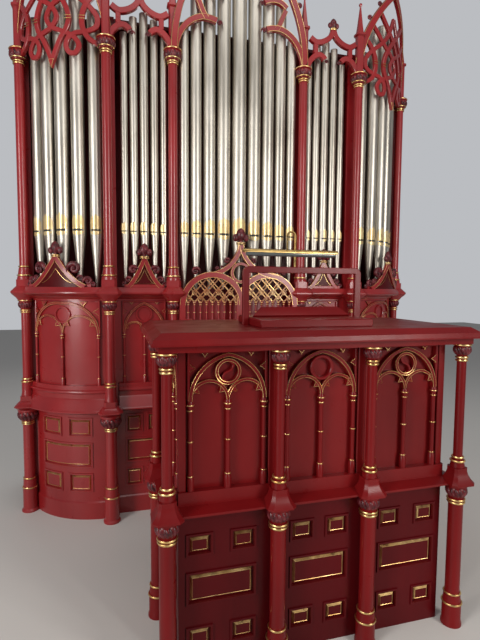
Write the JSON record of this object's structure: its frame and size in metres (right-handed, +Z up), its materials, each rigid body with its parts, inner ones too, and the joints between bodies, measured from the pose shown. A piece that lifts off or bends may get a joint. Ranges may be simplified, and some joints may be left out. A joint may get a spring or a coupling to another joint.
{
  "type": "pipe organ with detached console",
  "caption": "Chamber pipe organ: panelled gothic case with bowed towers and arches over metal pipes, and a low detached console with keyboards and a music desk.",
  "frame": {"origin": "middle of the footprint at floor level", "axes": "+Z up, the pipe front and the console face -Y, X across the case"},
  "size_m": [2.876, 2.315, 3.926],
  "materials": {
    "red_lacquer": "deep crimson lacquer over carved and panelled wood, glossy, with gilt lines",
    "dark_lacquer": "dark red stain on the inner and hidden boards",
    "pipe_metal": "polished tin and lead alloy with gilded mouths",
    "lamp_brass": "aged brass",
    "key_wood": "waxed natural wood",
    "pedal_oak": "worn oak",
    "ivory": "bone coloured key facings"
  },
  "bodies": {
    "root": {"tower_bases": "red_lacquer", "narrow_bases": "red_lacquer", "centre_base": "red_lacquer", "side_walls": "dark_lacquer", "back_wall": "dark_lacquer", "roof": "dark_lacquer", "case_posts": "red_lacquer", "lower_columns": "red_lacquer", "middle_columns": "red_lacquer", "upper_columns": "red_lacquer", "ledge": "red_lacquer", "tower_panels": "red_lacquer", "narrow_panels": "red_lacquer", "cornice": "red_lacquer", "windchest": "dark_lacquer", "centre_screen": "red_lacquer", "tower_crests": "red_lacquer", "narrow_crests": "red_lacquer", "pipes_left_tower": "pipe_metal", "pipes_left_bay": "pipe_metal", "pipes_centre": "pipe_metal", "pipes_right_bay": "pipe_metal", "pipes_right_tower": "pipe_metal", "left_tower_arch": "red_lacquer", "right_tower_arch": "red_lacquer", "narrow_arches": "red_lacquer", "centre_arch": "red_lacquer", "pinnacles": "red_lacquer", "console_base": "red_lacquer", "console_ledge": "red_lacquer", "console_panels": "red_lacquer", "console_tracery": "red_lacquer", "console_lower_columns": "red_lacquer", "console_upper_columns": "red_lacquer", "console_table": "red_lacquer", "music_platform": "red_lacquer", "music_panel": "red_lacquer", "music_frame": "red_lacquer", "music_light": "lamp_brass", "key_table": "red_lacquer", "key_cheeks": "key_wood", "lower_manual": "ivory", "upper_manual": "ivory", "stop_jambs": "red_lacquer", "stop_knobs": "ivory", "kneeboard": "red_lacquer", "pedalboard": "pedal_oak"}
  },
  "joints": []
}
